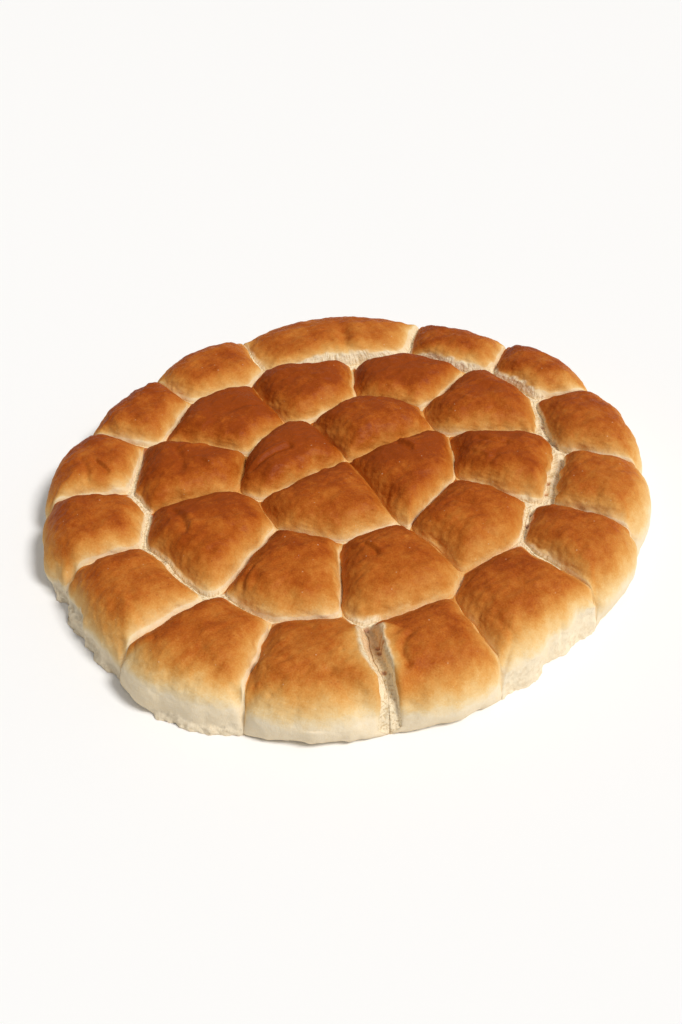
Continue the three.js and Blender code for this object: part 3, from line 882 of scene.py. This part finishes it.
# Browning to colour: the bake plus noises of three sizes, more of them the browner it is, then the ramp.
def browningGroup():
    group, given, out = newGroup("browning", [
        ("Bake", "Float", 0.5), ("Mottle", "Float", 0.08), ("Vector", "Vector", None)], [("Color", "Color")])
    sway = 0.0
    for scale, weight in crustTones["mottles"]:
        noise = noiseNode(group, given["Vector"], scale, roughness=0.6)
        sway = mathNode(group, "MULTIPLY_ADD", mathNode(group, "SUBTRACT", noise[0], 0.5), weight, sway)
    scaled = mathNode(group, "MULTIPLY", sway, given["Mottle"])
    most = mathNode(group, "ADD", given["Bake"], crustTones["mottleFrom"])
    tone = mathNode(group, "ADD", given["Bake"], mathNode(group, "MULTIPLY", scaled, most))
    group.links.new(colourRamp(group, tone, crustTones["stops"]), out["Color"])
    return group


# Fine skin of the crust: a soft grain less pin pores, the pores in clusters, as a height.
def crustSkinGroup():
    group, given, out = newGroup(
        "crustSkin", [("Vector", "Vector", None), ("Pores", "Float", 0.6)], [("Height", "Float")])
    place = given["Vector"]
    grain = mathNode(group, "MULTIPLY", noiseNode(group, place, 900.0, 4.0, 0.6)[0], 0.5)
    height = mathNode(group, "ADD", grain, noiseNode(group, place, 260.0, 3.0, 0.55)[0])
    pores = addNode(group, "ShaderNodeTexVoronoi", Vector=place, Scale=760.0)
    pit = rangeNode(group, pores["Distance"], 0.05, 0.28, -1.0, 0.0)
    cluster = rangeNode(group, noiseNode(group, place, 120.0)[0], 0.42, 0.68)
    deep = mathNode(group, "MULTIPLY", mathNode(group, "MULTIPLY", pit, given["Pores"]), cluster)
    group.links.new(mathNode(group, "ADD", height, deep), out["Height"])
    return group


crumbLook = {
    "colour": (0.92, 0.78, 0.55),
    "shade": (0.68, 0.50, 0.27),
    "cells": (330.0, 800.0),  # scales of the big and small cells
    "strands": (640.0, 3.0, 0.6),  # scale, detail and roughness
}


# Torn crumb: open cells of two sizes, bent by a noise, plus pulled strands, as a height and as a shade in the
# hollows.
def tornCrumbGroup():
    group, given, out = newGroup(
        "tornCrumb", [("Vector", "Vector", None), ("Strand", "Vector", None)],
        [("Height", "Float"), ("Shade", "Float")])
    bend = noiseNode(group, given["Vector"], 180.0)["Color"]
    pushed = addNode(group, "ShaderNodeVectorMath", {"operation": "MULTIPLY_ADD"}, in0=bend,
                     in1=(0.004, 0.004, 0.004), in2=given["Vector"])[0]
    big, small = [addNode(group, "ShaderNodeTexVoronoi", Vector=pushed, Scale=scale)["Distance"]
                  for scale in crumbLook["cells"]]
    pulled = noiseNode(group, given["Strand"], *crumbLook["strands"])[0]
    height = mathNode(group, "ADD", big, mathNode(group, "MULTIPLY", small, 0.5))
    height = mathNode(group, "ADD", height, mathNode(group, "MULTIPLY", pulled, 2.2))
    group.links.new(height, out["Height"])
    hollow = rangeNode(group, big, 0.12, 0.45, 1.0, 0.0)
    between = rangeNode(group, pulled, 0.32, 0.55, 1.0, 0.0)
    shade = mathNode(group, "MAXIMUM", mathNode(group, "MULTIPLY", hollow, 0.25), between)
    group.links.new(shade, out["Shade"])
    return group


# Specks: the cells drawn under a share, each with a dot of its own size at its middle.
def specksGroup():
    inputs = [("Vector", "Vector", None), ("Scale", "Float", 260.0), ("Share", "Float", 0.05),
              ("Size", "Float", 0.16)]
    group, given, out = newGroup("specks", inputs, [("Mask", "Float")])
    cells = addNode(group, "ShaderNodeTexVoronoi", Vector=given["Vector"], Scale=given["Scale"])
    draw = addNode(group, "ShaderNodeSeparateColor", Color=cells["Color"])
    chosen = mathNode(group, "LESS_THAN", draw[0], given["Share"])
    size = mathNode(group, "MULTIPLY", given["Size"], mathNode(group, "ADD", draw[1], 0.35))
    dot = mathNode(group, "LESS_THAN", cells["Distance"], size)
    group.links.new(mathNode(group, "MULTIPLY", chosen, dot), out["Mask"])
    return group


groups = {
    "browning": browningGroup(),
    "skin": crustSkinGroup(),
    "crumb": tornCrumbGroup(),
    "specks": specksGroup(),
}

# Finish of the crusts: shares of flour on them, of dust with painted glints on them, and of scorched spots
# and pores in them.
# A speck is (scale, size, how much it covers).
crustFinish = {
    "outer": {"mottle": 0.22, "gloss": 0.52, "flour": 0.085, "dust": 0.035, "scorch": 0.020, "pores": 0.16},
    "middle": {"mottle": 0.22, "gloss": 0.48, "flour": 0.070, "dust": 0.01, "scorch": 0.016, "pores": 0.16},
    "inner": {"mottle": 0.22, "gloss": 0.46, "flour": 0.070, "dust": 0.01, "scorch": 0.014, "pores": 0.16},
}
crustLook = {
    "specks": {"flour": (300.0, 0.13, 0.3), "scorch": (210.0, 0.17, 0.5), "pores": (520.0, 0.26, 0.3)},
    "flourColour": (0.86, 0.66, 0.44),
    "scorchColour": (0.25, 0.05, 0.006),
    "scorchFrom": (0.3, 0.65),  # bakes between which scorched spots come in
    "dust": (1100.0, 3.0, 0.7),
    "dustFrom": (0.45, 0.75),
    "glossFrom": (0.1, 0.8),  # bakes between which the roughness falls from pale to the crust's own
    "paleRough": 0.78,
    "crumbRough": 0.9,
    "pores": 0.6,
    "skinBump": (0.55, 0.0008),  # strength and distance
    "crumbBump": (0.4, 0.0011),
    "specular": 0.09,
}
soleLook = {
    "patches": (38.0, 5.0, 0.6), "bake": (0.3, 0.7, 0.3, 0.62), "mottle": 0.3, "specks": (300.0, 0.2, 0.6),
    "flour": 0.12, "flourColour": (0.84, 0.76, 0.64), "pores": 1.0, "bump": (0.3, 0.0008), "rough": 0.75,
}


# One of the shader groups in a material, with its inputs.
def placeGroup(tree, name, **inputs):
    return addNode(tree, "ShaderNodeGroup", {"node_tree": groups[name]}, **inputs)


# How much specks cover: their mask times their cover.
def specks(tree, place, share, look):
    scale, size, cover = look
    mask = placeGroup(tree, "specks", Vector=place, Scale=scale, Share=share, Size=size)["Mask"]
    return mathNode(tree, "MULTIPLY", mask, cover)


# A bump of a strength and distance.
def bumpNode(tree, look, height, **inputs):
    return addNode(tree, "ShaderNodeBump", Strength=look[0], Distance=look[1], Height=height, **inputs)[0]


# A new material with its node tree and its shader's inputs.
def newMaterial(name):
    material = bpy.data.materials.new(name)
    material.use_nodes = True
    return material, material.node_tree, material.node_tree.nodes["Principled BSDF"].inputs


# Crust: browned skin by its bake, flour and scorch specks over it, torn crumb where the crumb mark is set.
def crustMaterial(ring):
    finish, look = crustFinish[ring], crustLook
    material, tree, shader = newMaterial(ring + "Crust")
    place = addNode(tree, "ShaderNodeTexCoord")["Object"]
    bake, crumb, strand = [addNode(tree, "ShaderNodeAttribute", {"attribute_name": name})
                           for name in ("bake", "crumb", "strand")]
    bake, crumb, strand = bake["Fac"], crumb["Fac"], strand["Vector"]
    flour, scorch, pores = [
        specks(tree, place, finish[kind], speck) for kind, speck in look["specks"].items()]
    # Pale dust and painted glints: a fine noise that lightens the skin towards the flour colour.
    bloom = noiseNode(tree, place, *look["dust"])[0]
    dust = rangeNode(tree, bloom, *look["dustFrom"], 0.0, finish["dust"])
    browned = rangeNode(tree, bake, *look["scorchFrom"], kind="LINEAR")
    pitted = mathNode(tree, "MULTIPLY", mathNode(tree, "MAXIMUM", scorch, pores), browned)
    skin = placeGroup(tree, "browning", Bake=bake, Mottle=finish["mottle"], Vector=place)["Color"]
    skin = mixColour(tree, dust, skin, look["flourColour"])
    skin = mixColour(tree, flour, skin, look["flourColour"])
    skin = mixColour(tree, pitted, skin, look["scorchColour"])
    cells = placeGroup(tree, "crumb", Vector=place, Strand=strand)
    torn = mixColour(tree, cells["Shade"], crumbLook["colour"], crumbLook["shade"])
    tree.links.new(mixColour(tree, crumb, skin, torn), shader["Base Color"])
    rough = rangeNode(tree, bake, *look["glossFrom"], look["paleRough"], finish["gloss"], kind="LINEAR")
    crumbRough = mathNode(tree, "MULTIPLY", crumb, look["crumbRough"])
    tree.links.new(mathNode(tree, "MAXIMUM", rough, crumbRough), shader["Roughness"])
    height = placeGroup(tree, "skin", Vector=place, Pores=look["pores"])["Height"]
    deep = mathNode(tree, "MULTIPLY", cells["Height"], crumb)
    bump = bumpNode(tree, look["crumbBump"], deep, Normal=bumpNode(tree, look["skinBump"], height))
    tree.links.new(bump, shader["Normal"])
    shader["Specular IOR Level"].default_value = look["specular"]
    return material


# Sole: evenly browned where it lay on the tray, dusted with flour.
def soleMaterial():
    look = soleLook
    material, tree, shader = newMaterial("traySole")
    place = addNode(tree, "ShaderNodeTexCoord")["Object"]
    level = rangeNode(tree, noiseNode(tree, place, *look["patches"])[0], *look["bake"], kind="LINEAR")
    skin = placeGroup(tree, "browning", Bake=level, Mottle=look["mottle"], Vector=place)["Color"]
    flour = specks(tree, place, look["flour"], look["specks"])
    tree.links.new(mixColour(tree, flour, skin, look["flourColour"]), shader["Base Color"])
    height = placeGroup(tree, "skin", Vector=place, Pores=look["pores"])["Height"]
    tree.links.new(bumpNode(tree, look["bump"], height), shader["Normal"])
    shader["Roughness"].default_value = look["rough"]
    return material


studio = {
    "eye": (-6.4, -736.76, 615.73),  # millimetres off the hub
    "pitch": 40.35,  # degrees down
    "focal": 1225.0,  # pixels, for a picture of this height
    "pictureHeight": 1024.0,
    "sensor": 36.0,
    "floorSize": 30.0,  # metres
    "floorLevel": -0.0002,
    "floorTone": 0.95,
    "floorRough": 0.9,
    "key": {"clock": 117.0, "height": 55.0, "spread": 18.0, "strength": 2.62, "colour": (1.0, 0.98, 0.95)},
    "fill": {"clock": 50.0, "height": 60.0, "spread": 120.0, "strength": 0.3, "colour": (1.0, 1.0, 1.0)},
    "sky": 0.27,
}


# Camera at the photo's place and angle, its lens from the focal length in pixels.
def makeCamera(hub):
    lens = bpy.data.cameras.new("eye")
    lens.sensor_fit = "VERTICAL"
    lens.sensor_height = studio["sensor"]
    lens.lens = studio["focal"] / studio["pictureHeight"] * studio["sensor"]
    camera = bpy.data.objects.new("eye", lens)
    camera.location = (np.array(studio["eye"]) + np.array([*hub, 0.0])) * mm
    camera.rotation_euler = (math.radians(90.0 - studio["pitch"]), 0.0, 0.0)
    bpy.context.scene.collection.objects.link(camera)
    bpy.context.scene.camera = camera


# Lamp: a soft sun at a clock and a height, its spread in degrees softening the shadows.
def makeLamp(name, light):
    lamp = bpy.data.lights.new(name, "SUN")
    lamp.energy = light["strength"]
    lamp.angle = math.radians(light["spread"])
    lamp.color = light["colour"]
    holder = bpy.data.objects.new(name, lamp)
    holder.rotation_euler = (math.radians(90.0 - light["height"]), 0.0, math.radians(180.0 - light["clock"]))
    bpy.context.scene.collection.objects.link(holder)


# Plain pale floor, a hair under the soles.
def makeFloor():
    half = studio["floorSize"] / 2
    mesh = bpy.data.meshes.new("floor")
    corners = [(-half, -half, 0), (half, -half, 0), (half, half, 0), (-half, half, 0)]
    mesh.from_pydata(corners, [], [(0, 1, 2, 3)])
    material, tree, shader = newMaterial("paleFloor")
    shader["Base Color"].default_value = (*[studio["floorTone"]] * 3, 1.0)
    shader["Roughness"].default_value = studio["floorRough"]
    mesh.materials.append(material)
    floor = bpy.data.objects.new("floor", mesh)
    floor.location.z = studio["floorLevel"]
    bpy.context.scene.collection.objects.link(floor)


# Camera, lamps, floor and an even white sky.
def makeStudio(hub):
    makeCamera(hub)
    makeLamp("key", studio["key"])
    makeLamp("fill", studio["fill"])
    makeFloor()
    world = bpy.data.worlds.new("studio")
    world.use_nodes = True
    sky = world.node_tree.nodes["Background"]
    sky.inputs["Color"].default_value = (1.0, 1.0, 1.0, 1.0)
    sky.inputs["Strength"].default_value = studio["sky"]
    bpy.context.scene.world = world
    bpy.context.scene.view_settings.view_transform = "Standard"


cells = footprints()
hub = hubPlace(cells)
print("plan:", len(cells), "rolls, hub at", hub.round(2), "mm")
makeStudio(hub)
crusts = {ring: crustMaterial(ring) for ring in crustFinish}
sole = soleMaterial()
print("materials:", len(crusts), "crusts and a sole")
for cell in cells:
    form = rollForm(cell)
    roll = rollMesh(cell, form, hub, [crusts[cell["ring"]], sole])
    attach(roll, "root")
    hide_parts(cell["name"])
